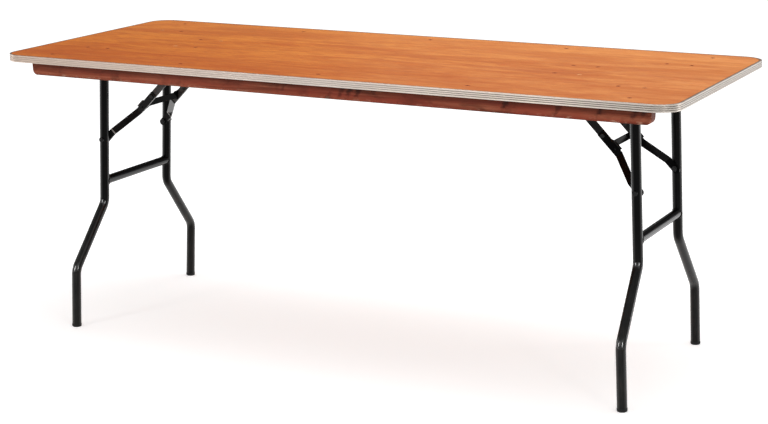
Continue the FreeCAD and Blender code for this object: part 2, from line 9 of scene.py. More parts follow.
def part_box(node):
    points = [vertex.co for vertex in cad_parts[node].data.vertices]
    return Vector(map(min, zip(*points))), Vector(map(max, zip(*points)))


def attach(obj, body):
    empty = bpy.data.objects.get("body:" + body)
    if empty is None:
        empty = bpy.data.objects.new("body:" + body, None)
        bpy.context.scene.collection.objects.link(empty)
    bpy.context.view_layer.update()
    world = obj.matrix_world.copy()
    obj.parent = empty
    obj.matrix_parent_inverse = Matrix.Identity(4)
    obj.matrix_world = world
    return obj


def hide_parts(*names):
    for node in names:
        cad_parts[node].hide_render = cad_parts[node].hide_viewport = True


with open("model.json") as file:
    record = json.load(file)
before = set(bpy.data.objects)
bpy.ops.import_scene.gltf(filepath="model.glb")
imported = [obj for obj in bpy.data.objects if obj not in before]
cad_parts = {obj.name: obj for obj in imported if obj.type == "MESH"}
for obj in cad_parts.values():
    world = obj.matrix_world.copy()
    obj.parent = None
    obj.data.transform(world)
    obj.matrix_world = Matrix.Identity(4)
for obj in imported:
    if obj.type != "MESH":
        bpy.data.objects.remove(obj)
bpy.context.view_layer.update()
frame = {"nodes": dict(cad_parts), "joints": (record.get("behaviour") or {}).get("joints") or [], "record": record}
nodes = frame["nodes"]

# Camera of the photograph, in metres, degrees and pixels of a frame 768 wide
IMAGE_WIDTH = 768
SENSOR_WIDTH = 36.0
FOCAL_PIXELS = 1807.2
CAMERA_PLACE = (2.0994, -4.1044, 1.4603)
CAMERA_YAW = 26.925
CAMERA_PITCH = 13.696
CAMERA_ROLL = -0.441

# Sides and rows of the table, by the sign of their coordinate
SIDES = {"left": -1, "right": 1}
ROWS = {"front": -1, "rear": 1}

# Joints of the right-hand leg and brace in metres, and the slopes in radians that follow from them
JOINT_PLACES = {joint["name"]: Vector(joint["pos_m"]) for joint in frame["joints"]}
LEG_PIVOT = JOINT_PLACES["right_leg_fold"]
BRACE_PIVOT = JOINT_PLACES["right_upper_brace_turn"]
BRACE_BOLT = JOINT_PLACES["right_front_lower_brace_turn"]
LEG_SPLAY = math.atan2(BRACE_BOLT.x - LEG_PIVOT.x, LEG_PIVOT.z - BRACE_BOLT.z)
BRACE_SLOPE = math.atan2(BRACE_PIVOT.z - BRACE_BOLT.z, BRACE_BOLT.x - BRACE_PIVOT.x)

# Other sizes of the leg frames, braces and board in metres, and the number of ridges on the edge band
TUBE_RADIUS = 0.0125
LEG_SPREAD = 0.152
LOCK_HOLE_REACH = 0.115899
STRAP_OUTER = 0.0806
BOARD_CORNER = 0.0528
BAND_RIDGES = 4

# Sockets of the mix node in its colour form, which share their names with its other sockets
MIX_SHARE = 0
MIX_FIRST = 6
MIX_SECOND = 7
MIX_RESULT = 2

# Shift or turn of a pattern that stays in place
ZERO = (0.0, 0.0, 0.0)


def tone(red, green, blue):
    """A linear colour from the red, green and blue of a screen colour."""
    shares = [part / 255 for part in (red, green, blue)]
    linear = [part / 12.92 if part <= 0.04045 else ((part + 0.055) / 1.055) ** 2.4 for part in shares]
    return (*linear, 1.0)


class Graph:
    """A node tree, with short calls for the nodes and links that it is made of."""

    def __init__(self, owner, output_kind):
        owner.use_nodes = True
        self.tree = owner.node_tree
        self.tree.nodes.clear()
        self.output = self.tree.nodes.new(output_kind)

    def feed(self, socket, value):
        if isinstance(value, bpy.types.NodeSocket):
            self.tree.links.new(value, socket)
        else:
            socket.default_value = value

    def add(self, kind, inputs, **settings):
        node = self.tree.nodes.new(kind)
        for key, value in settings.items():
            setattr(node, key, value)
        for key, value in inputs.items():
            self.feed(node.inputs[key], value)
        return node

    def show(self, shader):
        self.feed(self.output.inputs["Surface"], shader.outputs[0])

    def math(self, operation, *values):
        return self.add("ShaderNodeMath", dict(enumerate(values)), operation=operation).outputs[0]

    def product(self, first, *others):
        for other in others:
            first = self.math("MULTIPLY", first, other)
        return first

    def axis(self, vector, name):
        return self.add("ShaderNodeSeparateXYZ", {"Vector": vector}).outputs[name]

    def away(self, vector, name):
        """How far a vector reaches along an axis, either way."""
        return self.math("ABSOLUTE", self.axis(vector, name))

    def between(self, value, low, high, first=0.0, last=1.0, curve="SMOOTHSTEP"):
        """Run from first where a value is low to last where it is high."""
        inputs = {"Value": value, "From Min": low, "From Max": high, "To Min": first, "To Max": last}
        return self.add("ShaderNodeMapRange", inputs, interpolation_type=curve).outputs[0]

    def near(self, value, centre, far, close):
        """Run from 0 at the distance far from a centre to 1 at the distance close."""
        return self.between(self.math("ABSOLUTE", self.math("SUBTRACT", value, centre)), far, close)


class Shade(Graph):
    """A procedural material with one surface shader, and short calls for its patterns."""

    def __init__(self, name, **constants):
        self.material = bpy.data.materials.new(name)
        super().__init__(self.material, "ShaderNodeOutputMaterial")
        inputs = {socket.replace("_", " "): value for socket, value in constants.items()}
        self.surface = self.add("ShaderNodeBsdfPrincipled", inputs)
        self.show(self.surface)
        self.place = self.add("ShaderNodeTexCoord", {}).outputs["Object"]
        self.facing = self.add("ShaderNodeNewGeometry", {}).outputs["Normal"]

    def stretch(self, scale, shift=ZERO, turn=ZERO, kind="POINT"):
        inputs = {"Vector": self.place, "Scale": scale, "Location": shift, "Rotation": turn}
        return self.add("ShaderNodeMapping", inputs, vector_type=kind).outputs["Vector"]

    def noise(self, scale, shift=ZERO, detail=3.0, roughness=0.6, warp=0.0):
        inputs = {"Vector": self.stretch(scale, shift), "Scale": 1.0, "Detail": detail}
        inputs |= {"Roughness": roughness, "Distortion": warp}
        return self.add("ShaderNodeTexNoise", inputs).outputs[0]

    def cells(self, *mapping):
        """Distance to the nearest of many scattered points, and a random colour for each point."""
        node = self.add("ShaderNodeTexVoronoi", {"Vector": self.stretch(*mapping), "Scale": 1.0})
        return node.outputs["Distance"], node.outputs["Color"]

    def ramp(self, value, *stops):
        node = self.add("ShaderNodeValToRGB", {"Fac": value})
        points = node.color_ramp.elements
        while len(points) < len(stops):
            points.new(0.5)
        for point, (position, colour) in zip(points, stops):
            point.position = position
            point.color = colour if isinstance(colour, tuple) else (colour, colour, colour, 1.0)
        return node.outputs["Color"]

    def mix(self, share, first, second):
        inputs = {MIX_SHARE: share, MIX_FIRST: first, MIX_SECOND: second}
        return self.add("ShaderNodeMix", inputs, data_type="RGBA").outputs[MIX_RESULT]

    def stain(self, colour, pattern, tint, strength, start=0.0, full=1.0):
        """Lay a tint over a colour, from none where a pattern is at start to its strength at full."""
        return self.mix(self.ramp(pattern, (start, 0.0), (full, strength)), colour, tint)

    def edge(self):
        """0 in the middle of a tube, 1 where it turns out of sight."""
        return self.add("ShaderNodeLayerWeight", {"Blend": 0.5}).outputs["Facing"]

    def border(self, half_length, half_width, corner):
        """Distance inwards from the outline of a rounded rectangle, up to its corner radius."""
        squares = []
        for name, half in (("X", half_length), ("Y", half_width)):
            past = self.math("SUBTRACT", self.away(self.place, name), half - corner)
            past = self.math("MAXIMUM", past, 0.0)
            squares.append(self.math("MULTIPLY", past, past))
        return self.math("SUBTRACT", corner, self.math("SQRT", self.math("ADD", *squares)))

    def finish(self, colour, rough, height, depth, strength):
        inputs = {"Height": height, "Distance": depth, "Strength": strength}
        normal = self.add("ShaderNodeBump", inputs).outputs["Normal"]
        for name, value in (("Base Color", colour), ("Roughness", rough), ("Normal", normal)):
            self.feed(self.surface.inputs[name], value)
        return self.material


# Patterns of the board's veneer: stretch along X, Y and Z, shift, detail, roughness and warp of a noise
VENEER_PATTERNS = {
    "broad": ((1.5, 8.0, 8.0), ZERO, 4.0, 0.55, 1.4),
    "cloud": ((5.0, 13.0, 13.0), (6.0, 3.0, 0.0), 4.0, 0.6, 1.2),
    "streak": ((4.2, 30.0, 30.0), (3.0, 1.0, 0.0), 5.0, 0.62, 1.5),
    "line": ((1.4, 75.0, 75.0), (7.0, 2.0, 0.0), 4.0, 0.6, 0.5),
    "mottle": ((24.0, 48.0, 48.0), (4.0, 9.0, 0.0), 4.0, 0.6, 0.6),
    "fleck": ((14.0, 260.0, 260.0), (1.0, 5.0, 0.0), 3.0, 0.6, 0.5),
    "flame": ((30.0, 18.0, 18.0), (2.0, 0.0, 0.0), 3.0, 0.5, 1.2),
    "pore": ((40.0, 1100.0, 1100.0), ZERO, 2.0, 0.5, 0.0),
}

# Screen colours of the veneer at its left and right end, the lighter right end partly painted sheen, levels of the
# broad pattern, and ends along X
VENEER_DARK = ((182, 88, 17), (194, 110, 47))
VENEER_PALE = ((212, 124, 40), (221, 143, 76))
VENEER_LEVELS = (0.34, 0.66)
VENEER_ENDS = (-0.75, 1.05)

# Tints on the veneer in turn: pattern, strength, levels where it starts and is full, one or two end colours
VENEER_TINTS = (
    ("cloud", 0.38, 0.50, 0.66, (174, 84, 27)),
    ("streak", 0.42, 0.50, 0.72, (174, 86, 32)),
    ("line", 0.32, 0.58, 0.68, (152, 72, 28)),
    ("mottle", 0.42, 0.45, 0.68, (158, 68, 14), (182, 92, 34)),
    ("fleck", 0.45, 0.56, 0.70, (160, 76, 30)),
    ("flame", 0.22, 0.54, 0.72, (204, 96, 36)),
    ("pore", 0.28, 0.60, 0.72, (150, 72, 36)),
)

# Painted sheen across the board, lighter towards the rear edge and darker towards the front: where along Y each
# starts and is full, strength and screen colour
CROSS_SHEEN_TINTS = (
    (-0.1, 0.37, 0.20, (236, 158, 82)),
    (0.15, -0.3, 0.20, (178, 86, 26)),
)

# Seam beside the band, partly dirt in the joint and partly painted shade of the band's lip: width in metres by the
# share of the way from front to rear edge, and strength
SEAM_AND_SHADE_WIDTHS = ((0.0, 0.0025), (0.02, 0.0045), (0.98, 0.0045), (1.0, 0.0095))
SEAM_AND_SHADE_STRENGTH = 0.8


def lengthwise(shade, along, tints):
    """A tint that changes along the board where two screen colours are given."""
    return shade.mix(along, tone(*tints[0]), tone(*tints[-1]))


def pin_knots(shade):
    """Small dark dots at a few of many scattered points."""
    distance, cell = shade.cells((3.2, 7.5, 0.01), (0.4, 0.7, 0.0))
    dot = shade.ramp(distance, (0.012, 1.0), (0.04, 0.0))
    return shade.product(dot, shade.ramp(cell, (0.74, 0.0), (0.76, 0.75)))


def seam_and_lip_shade(shade, across):
    """The dark line where the board meets its edge band: dirt in the joint, and painted shade of the band's lip,
    widest at the rear.
    """
    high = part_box("plywood_top")[1]
    inwards = shade.border(high.x, high.y, BOARD_CORNER)
    width = shade.ramp(shade.between(across, -high.y, high.y), *SEAM_AND_SHADE_WIDTHS)
    seam_and_shade = shade.between(shade.math("DIVIDE", inwards, width), 1.0, 0.4)
    return shade.product(seam_and_shade, SEAM_AND_SHADE_STRENGTH)


def lacquered_plywood():
    """Face veneer under satin lacquer: deeper at the left end and lighter to the right partly as painted sheen,
    with painted sheen across the board, streaks, flecks, pin knots and a dark line along the band that is partly
    painted shade.
    """
    shade = Shade("lacquered_plywood", Specular_IOR_Level=0.13)
    across = shade.axis(shade.place, "Y")
    along = shade.between(shade.axis(shade.place, "X"), *VENEER_ENDS)
    patterns = {name: shade.noise(*pattern) for name, pattern in VENEER_PATTERNS.items()}
    # The change from the left end to the right is partly the veneer's tone and partly painted sheen.
    dark, pale = [lengthwise(shade, along, tints) for tints in (VENEER_DARK, VENEER_PALE)]
    colour = shade.mix(shade.between(patterns["broad"], *VENEER_LEVELS), dark, pale)
    for name, strength, start, full, *tints in VENEER_TINTS:
        tint = lengthwise(shade, along, tints)
        colour = shade.stain(colour, patterns[name], tint, strength, start, full)
    colour = shade.mix(pin_knots(shade), colour, tone(118, 52, 26))
    # Painted sheen: the board lighter towards the rear edge and darker towards the front.
    for start, full, strength, tint in CROSS_SHEEN_TINTS:
        colour = shade.stain(colour, shade.between(across, start, full), tone(*tint), strength)
    # Painted shade and joint dirt: a dark line along the edge band, widest at the rear.
    colour = shade.mix(seam_and_lip_shade(shade, across), colour, tone(104, 76, 58))
    rough = shade.ramp(patterns["streak"], (0.35, 0.36), (0.70, 0.48))
    relief = shade.math("ADD", patterns["line"], patterns["pore"])
    return shade.finish(colour, rough, relief, depth=0.00012, strength=0.35)


# Wood of the rails: patterns and tints as in the veneer, and screen colours by the level of the grain
RAIL_PATTERNS = {
    "grain": ((1.8, 70.0, 70.0), (1.0, 4.0, 2.0), 5.0, 0.6, 0.9),
    "fine": ((9.0, 420.0, 420.0), ZERO, 3.0, 0.6, 0.0),
    "blotch": ((5.0, 9.0, 22.0), ZERO, 3.0, 0.5, 0.0),
    "patch": ((11.0, 11.0, 26.0), (2.0, 6.0, 1.0), 4.0, 0.6, 0.6),
}
RAIL_TONES = ((0.30, (112, 52, 34)), (0.50, (158, 84, 60)), (0.70, (188, 114, 86)))
RAIL_TINTS = (
    ("blotch", 0.65, 0.42, 0.62, (160, 68, 52)),
    ("patch", 0.45, 0.52, 0.66, (84, 42, 28)),
    ("fine", 0.40, 0.55, 0.70, (92, 40, 28)),
)

# Knots of the rails: lean in radians, cell and shift in metres, raggedness, and where along X they fade in
KNOT_LEAN = math.radians(32)
KNOT_CELL = (0.022, 10.0, 0.060)
KNOT_SHIFT = (0.37, 0.0, 0.02)
KNOT_RAGGEDNESS = 0.7
KNOT_ENDS = (-0.5, 0.2)

# Wear of the rails in metres, where it starts and is full: above the underside, off the tips, off the faces
WORN_LOWER = (0.009, 0.003)
WORN_TIP = (0.004, 0.0)
WORN_ARRIS = (0.004, 0.001)

# Distance from the table's middle in metres where wear by handling starts to grow
HANDLED_START = 0.45

# Painted shade on the rails: height above the lower face in metres where the painted shadow under the band starts,
# heights where the underside turns dark as painted shade, and strength of the dark end grain
BAND_SHADOW_START = 0.006
SHADED_SOLE_HEIGHTS = (0.003, 0.001)
END_GRAIN = 0.55


def rail_wear(shade, low, high):
    """Where the stain is rubbed off: in scratches along the lower arrises and at the tips of a rail."""
    height = shade.axis(shade.place, "Z")
    tip = shade.away(shade.place, "X")
    lower = shade.between(height, *[low.z + rise for rise in WORN_LOWER])
    ends = shade.between(tip, *[high.x - inset for inset in WORN_TIP])
    half_width = (high.y - low.y) / 2
    middle = abs(low.y + high.y) / 2
    across = shade.away(shade.place, "Y")
    arris = shade.near(across, middle, *[half_width - inset for inset in WORN_ARRIS])
    handled = shade.ramp(shade.between(tip, HANDLED_START, high.x), (0.0, 0.35), (1.0, 1.0))
    scratch = shade.ramp(shade.noise((60.0, 120.0, 150.0)), (0.54, 0.0), (0.62, 0.7))
    return shade.product(shade.math("MAXIMUM", lower, ends), arris, handled, scratch)


def rail_knots(shade):
    """Short slanted dark marks where branches crossed the plank, fainter towards the left end."""
    distance, cell = shade.cells(KNOT_CELL, KNOT_SHIFT, (0.0, KNOT_LEAN, 0.0), "TEXTURE")
    wobble = shade.noise((90.0, 90.0, 140.0), detail=4.0, roughness=0.65)
    ragged = shade.math("MULTIPLY_ADD", wobble, KNOT_RAGGEDNESS, distance)
    stroke = shade.ramp(ragged, (0.50, 0.85), (0.78, 0.0))
    chosen = shade.ramp(cell, (0.60, 0.0), (0.62, 1.0))
    rightward = shade.between(shade.axis(shade.place, "X"), *KNOT_ENDS)
    return shade.product(stroke, chosen, shade.ramp(rightward, (0.0, 0.3), (1.0, 1.0)))


def stained_rail():
    """Softwood under a red-brown stain, with dark grain, knots, end grain and rubbed lower edges."""
    shade = Shade("stained_wood", Specular_IOR_Level=0.12)
    low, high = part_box("front_rail")
    height = shade.axis(shade.place, "Z")
    patterns = {name: shade.noise(*pattern) for name, pattern in RAIL_PATTERNS.items()}
    grain = patterns["grain"]
    colour = shade.ramp(grain, *[(level, tone(*parts)) for level, parts in RAIL_TONES])
    for name, strength, start, full, tint in RAIL_TINTS:
        colour = shade.stain(colour, patterns[name], tone(*tint), strength, start, full)
    colour = shade.mix(rail_knots(shade), colour, tone(56, 21, 15))
    colour = shade.mix(rail_wear(shade, low, high), colour, tone(206, 160, 134))
    # Painted shadow: the rail darkens towards its top, under the overhanging board and band.
    band_shadow = shade.between(height, low.z + BAND_SHADOW_START, high.z)
    colour = shade.stain(colour, band_shadow, tone(48, 24, 16), strength=0.85)
    # Painted shade: a dark line along the lower edge and underside.
    sole = shade.between(height, *[low.z + rise for rise in SHADED_SOLE_HEIGHTS])
    colour = shade.stain(colour, sole, tone(58, 28, 20), strength=0.45)
    end = shade.between(shade.away(shade.facing, "X"), 0.6, 0.95)
    colour = shade.mix(shade.product(end, END_GRAIN), colour, tone(84, 36, 26))
    rough = shade.ramp(grain, (0.30, 0.42), (0.70, 0.60))
    relief = shade.math("ADD", grain, patterns["fine"])
    return shade.finish(colour, rough, relief, depth=0.0003, strength=0.4)


# Screen colours along the edge band, with its brighter and darker reflections painted in, their loss in the
# drawing lines, and the ends of the band along X
BAND_REFLECTION_TONES = (
    (0.0, (203, 184, 170)), (0.5, (201, 190, 182)), (0.93, (226, 214, 202)), (1.0, (195, 187, 179)))
DRAWN_LOSS = 13
BAND_ENDS = (-0.95, 0.95)

# Painted shade between the ridges: half widths as a share, half heights in metres, and amount along the band
GROOVE_SHARES = (0.17, 0.11)
GROOVED_HEIGHTS = (0.0078, 0.0070)
GROOVE_SHADE_AMOUNTS = ((0.1, 0.15), (0.5, 0.42), (0.85, 1.0))

# Butt joint of the band: half width of its line, and where along Y the rear side begins, in metres
JOINT_LINE = (0.0005, 0.0002)
REAR_SIDE = (0.30, 0.31)


def band_reflection_tone(shade, along, loss):
    """The colour of the band along its length, with painted reflections, darker by a loss."""
    stops = [(stop, tone(*[part - loss for part in parts])) for stop, parts in BAND_REFLECTION_TONES]
    return shade.ramp(along, *stops)


def groove_shade(shade, along):
    """Painted shade in the inner grooves, most of it on the long sides and towards the right end."""
    low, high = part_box("edge_band")
    ridge = (high.z - low.z) / BAND_RIDGES
    height = shade.axis(shade.place, "Z")
    ridges_up = shade.math("DIVIDE", shade.math("SUBTRACT", height, low.z + ridge / 2), ridge)
    groove = shade.near(shade.math("FRACT", ridges_up), 0.5, *GROOVE_SHARES)
    inner = shade.near(height, (low.z + high.z) / 2, *GROOVED_HEIGHTS)
    long_side = shade.ramp(shade.away(shade.facing, "Y"), (0.2, 0.3), (0.7, 1.0))
    return shade.product(shade.ramp(along, *GROOVE_SHADE_AMOUNTS), long_side, groove, inner)


def butt_joint(shade):
    """The thin line at the middle of the rear side where the ends of the band meet."""
    line = shade.between(shade.away(shade.place, "X"), *JOINT_LINE)
    return shade.product(line, shade.between(shade.axis(shade.place, "Y"), *REAR_SIDE))


def ribbed_aluminium():
    """Satin extrusion with drawing lines along the ridges, smudges, painted reflections along its length, painted
    shade in the grooves and a butt joint.
    """
    shade = Shade("edge_aluminium", Metallic=1.0)
    drawn = shade.noise((2.0, 2.0, 1800.0), detail=2.0, roughness=0.5)
    smudge = shade.noise((6.0, 6.0, 20.0), roughness=0.5)
    along = shade.between(shade.axis(shade.place, "X"), *BAND_ENDS)
    # Painted reflection: the band's brightness changes along its length.
    bright, dull = [band_reflection_tone(shade, along, loss) for loss in (0, DRAWN_LOSS)]
    colour = shade.stain(dull, drawn, bright, strength=1.0, start=0.30, full=0.70)
    colour = shade.stain(colour, smudge, tone(184, 170, 157), strength=0.25, start=0.45, full=0.75)
    # Painted shade: darker lines in the grooves between the ridges.
    colour = shade.mix(groove_shade(shade, along), colour, tone(94, 87, 80))
    colour = shade.mix(butt_joint(shade), colour, tone(40, 36, 33))
    rough = shade.ramp(smudge, (0.30, 0.30), (0.70, 0.42))
    return shade.finish(colour, rough, drawn, depth=0.00003, strength=0.05)


# Gloss of black paint: strength of its reflections, the same all round or by how far a surface turns away
TUBE_GLOSS = ((0.12, 0.05), (0.32, 0.32), (0.7, 0.42))
STRAP_GLOSS = ((0.12, 0.02), (0.32, 0.12), (0.7, 0.5))
UPPER_STRAP_GLOSS = 0.1
HARDWARE_GLOSS = 0.2
TIE_GLOSS = 0.02

# Share of the gloss that is left by how far a surface faces up
TOP_DULLING = ((0.38, 1.0), (0.54, 0.1))

# Polish on the outer side of the legs' slanted stretch: strength, tilt up, turn outwards, heights in metres
SLANT_POLISH = 1.7
SLANT_TILT = (0.14, 0.20)
SLANT_TURN = (0.3, 0.8)
SLANT_MIDDLE = 0.241
SLANT_REACH = 0.090
SLANT_FADE = 0.02

# Dust on black paint: screen colours where it is thin and where it is thick; the grey tones for the left-hand
# straps are painted sheen with dust, and the lighter tones low on the legs are a painted reflection of the floor
# with dust
DARK_DUST = ((3, 3, 4), (9, 9, 9))
UPPER_STRAP_SHEEN_AND_DUST = ((66, 66, 66), (94, 93, 92))
LOWER_STRAP_SHEEN_AND_DUST = ((24, 24, 24), (42, 42, 42))
LOW_REFLECTION_AND_DUST = ((34, 34, 34), (54, 54, 52))

# Where dust, painted sheen and painted reflection lie: levels of the dust pattern, heights above the floor where
# the legs turn lighter, and places along X where the left-hand straps turn grey, in metres
DUST_LEVELS = (0.35, 0.75)
REFLECTION_AND_DUST_HEIGHTS = (0.45, 0.05)
LEFT_SIDE = (0.2, -0.4)

# Bare steel: level of a noise where a chip starts on paint and on hardware, and the width of its edge
CHIP_START = 0.745
HARDWARE_CHIP_START = 0.725
CHIP_EDGE = 0.02

# Crank of a lower strap: distance from the brace bolt, and half width of its painted glint line, in metres
FOLD_REACH = 0.029
FOLD_LINE = (0.0020, 0.0010)


def tube_gloss(shade, height, stops):
    """Gloss that grows towards the edges of a tube, dull on top and polished on the slant of the legs."""
    upward = shade.axis(shade.facing, "Z")
    side = shade.math("SIGN", shade.axis(shade.place, "Y"))
    outer = shade.between(shade.product(shade.axis(shade.facing, "Y"), side), *SLANT_TURN)
    slant = shade.near(height, SLANT_MIDDLE, SLANT_REACH + SLANT_FADE, SLANT_REACH)
    polish = shade.product(shade.between(upward, *SLANT_TILT), SLANT_POLISH, outer, slant)
    gloss = shade.math("MAXIMUM", shade.ramp(shade.edge(), *stops), polish)
    return shade.product(gloss, shade.ramp(upward, *TOP_DULLING))


def fold_glint(shade, height, dust, leftward):
    """A painted glint: the pale line across the cranks of the left-hand lower straps."""
    inward = shade.math("SUBTRACT", BRACE_BOLT.x, shade.away(shade.place, "X"))
    upward = shade.product(shade.math("SUBTRACT", height, BRACE_BOLT.z), math.sin(BRACE_SLOPE))
    reach = shade.math("MULTIPLY_ADD", inward, math.cos(BRACE_SLOPE), upward)
    glint_strength = shade.ramp(dust, (0.30, 0.9), (0.60, 0.45))
    return shade.product(shade.near(reach, FOLD_REACH, *FOLD_LINE), glint_strength, leftward)


def black_paint(name, gloss, left_sheen_and_dust=DARK_DUST, chip_start=CHIP_START, fold_glints=False):
    """Black paint with an orange peel, dust, painted sheen on the left side, a painted reflection of the floor low
    down, and specks of bare steel.
    """
    shade = Shade(name)
    height = shade.axis(shade.place, "Z")
    peel = shade.noise((420.0, 420.0, 420.0), detail=2.0, roughness=0.5)
    dust = shade.noise((26.0, 26.0, 14.0), detail=5.0, roughness=0.65)
    chip = shade.noise((240.0, 240.0, 240.0), (5.0, 3.0, 1.0), detail=4.0, roughness=0.7)
    leftward = shade.between(shade.axis(shade.place, "X"), *LEFT_SIDE)
    left, right, low = [
        shade.ramp(dust, *zip(DUST_LEVELS, [tone(*parts) for parts in tones]))
        for tones in (left_sheen_and_dust, DARK_DUST, LOW_REFLECTION_AND_DUST)
    ]
    # Painted sheen: on the left-hand side the straps take lighter, greyer tones.
    colour = shade.mix(leftward, right, left)
    # Painted reflection of the floor, with dust: lighter towards the floor.
    colour = shade.mix(shade.between(height, *REFLECTION_AND_DUST_HEIGHTS), colour, low)
    steel = tone(110, 106, 102)
    colour = shade.stain(colour, chip, steel, strength=0.8, start=chip_start, full=chip_start + CHIP_EDGE)
    if fold_glints:
        # Painted glint: a pale line across the crank of the left-hand lower straps.
        colour = shade.mix(fold_glint(shade, height, dust, leftward), colour, tone(214, 212, 208))
    shine = gloss if isinstance(gloss, float) else tube_gloss(shade, height, gloss)
    shade.feed(shade.surface.inputs["Specular IOR Level"], shine)
    rough = shade.ramp(dust, (0.30, 0.06), (0.75, 0.20))
    return shade.finish(colour, rough, peel, depth=0.0001, strength=0.06)


# Height above the floor in metres where foot caps start to be rubbed and are rubbed most
RUBBED_HEIGHTS = (0.006, 0.0)


def black_plastic():
    """Moulded plastic, dull on the sole where it has rubbed on floors."""
    shade = Shade("black_plastic", Specular_IOR_Level=0.3)
    grain = shade.noise((900.0, 900.0, 900.0), detail=2.0, roughness=0.5)
    scuff = shade.noise((90.0, 90.0, 160.0), detail=4.0)
    low = shade.between(shade.axis(shade.place, "Z"), *RUBBED_HEIGHTS)
    worn = shade.product(low, shade.ramp(scuff, (0.40, 0.0), (0.65, 0.7)))
    colour = shade.mix(worn, tone(15, 15, 16), tone(74, 71, 68))
    rough = shade.ramp(scuff, (0.30, 0.46), (0.70, 0.66))
    return shade.finish(colour, rough, grain, depth=0.0001, strength=0.3)


# Distance from the table's middle line in metres where heads start to be rubbed and are rubbed most
PALE_ROWS = (0.27, 0.22)


def lacquered_steel():
    """Steel heads and nuts under the board's own tinted lacquer, some of them rubbed pale."""
    shade = Shade("plated_steel", Specular_IOR_Level=0.06)
    turned = shade.noise((700.0, 700.0, 60.0))
    stain = shade.noise((260.0, 260.0, 260.0), roughness=0.5)
    patch = shade.noise((11.0, 11.0, 11.0), (4.0, 1.0, 0.0), detail=2.0, roughness=0.5)
    colour = shade.ramp(turned, (0.30, tone(134, 56, 26)), (0.70, tone(164, 80, 42)))
    colour = shade.stain(colour, stain, tone(78, 30, 14), strength=0.6, start=0.45, full=0.70)
    inner = shade.between(shade.away(shade.place, "Y"), *PALE_ROWS)
    rubbed = shade.product(inner, shade.ramp(patch, (0.50, 0.0), (0.60, 0.75)))
    colour = shade.mix(rubbed, colour, tone(228, 168, 112))
    rough = shade.ramp(stain, (0.30, 0.26), (0.70, 0.42))
    return shade.finish(colour, rough, turned, depth=0.00006, strength=0.3)


# A material for each slot, and three more for the straps and ties of the braces
MATERIALS = {
    "lacquered_plywood": lacquered_plywood(),
    "edge_aluminium": ribbed_aluminium(),
    "stained_wood": stained_rail(),
    "black_paint": black_paint("black_paint", TUBE_GLOSS),
    "black_upper_strap": black_paint("black_upper_strap", UPPER_STRAP_GLOSS, UPPER_STRAP_SHEEN_AND_DUST),
    "black_lower_strap": black_paint("black_lower_strap", STRAP_GLOSS, LOWER_STRAP_SHEEN_AND_DUST, fold_glints=True),
    "black_tie": black_paint("black_tie", TIE_GLOSS),
    "black_hardware": black_paint("black_hardware", HARDWARE_GLOSS, chip_start=HARDWARE_CHIP_START),
    "black_plastic": black_plastic(),
    "plated_steel": lacquered_steel(),
}


def dress(piece, slot_name):
    piece.data.materials.clear()
    piece.data.materials.append(MATERIALS[slot_name])


for part in frame["record"]["subparts"]:
    dress(nodes[part["node"]], part["material_slot"])
for side_name in SIDES:
    dress(nodes[f"{side_name}_brace_tie"], "black_tie")
    for row_name in ROWS:
        dress(nodes[f"{side_name}_{row_name}_upper_link"], "black_upper_strap")
        dress(nodes[f"{side_name}_{row_name}_lower_link"], "black_lower_strap")


# Distances in metres under which points are joined, and under which they lie in one face
JOIN_DISTANCE = 1e-6
FLUSH_DISTANCE = 1e-5


def add_piece(name, shape, body, slot_name, smooth=True):
    """Turn a bmesh into a piece that moves with a body and wears a slot's material."""
    mesh = bpy.data.meshes.new(name)
    bmesh.ops.recalc_face_normals(shape, faces=shape.faces)
    for face in shape.faces:
        face.smooth = smooth
    shape.to_mesh(mesh)
    shape.free()
    piece = bpy.data.objects.new(name, mesh)
    bpy.context.collection.objects.link(piece)
    dress(piece, slot_name)
    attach(piece, body)
    return piece


def joined_copy(node):
    """A bmesh of a node with the edges between its faces joined."""
    shape = bmesh.new()
    shape.from_mesh(nodes[node].data)
    bmesh.ops.remove_doubles(shape, verts=shape.verts, dist=JOIN_DISTANCE)
    return shape


def sweep(shape, stations, closed, points=10):
    """Skin a round section along stations of centre, two cross directions and radius."""
    rings = []
    for centre, first, second, radius in stations:
        turns = [2 * math.pi * step / points for step in range(points)]
        offsets = [first * math.cos(turn) + second * math.sin(turn) for turn in turns]
        rings.append([shape.verts.new(centre + offset * radius) for offset in offsets])
    pairs = list(zip(rings, rings[1:] + rings[:1])) if closed else list(zip(rings, rings[1:]))
    for here, there in pairs:
        for step in range(points):
            after = (step + 1) % points
            shape.faces.new((here[step], here[after], there[after], there[step]))
    if not closed:
        shape.faces.new(rings[0])
        shape.faces.new(rings[-1])


# Uneven swell of a hand-laid weld: height as a share of its radius, waves per turn and shift of each ripple
RIPPLES = ((0.16, 13, 1), (0.1, 29, 2))


def ripple(turn, phase):
    return sum(height * math.sin(waves * turn + shift * phase) for height, waves, shift in RIPPLES)


# Welds where each crossbar meets its leg tubes, thicker at the top and bottom
WELD_RADIUS = 0.0021
WELD_STEPS = 96
WELD_THICKENING = 0.3


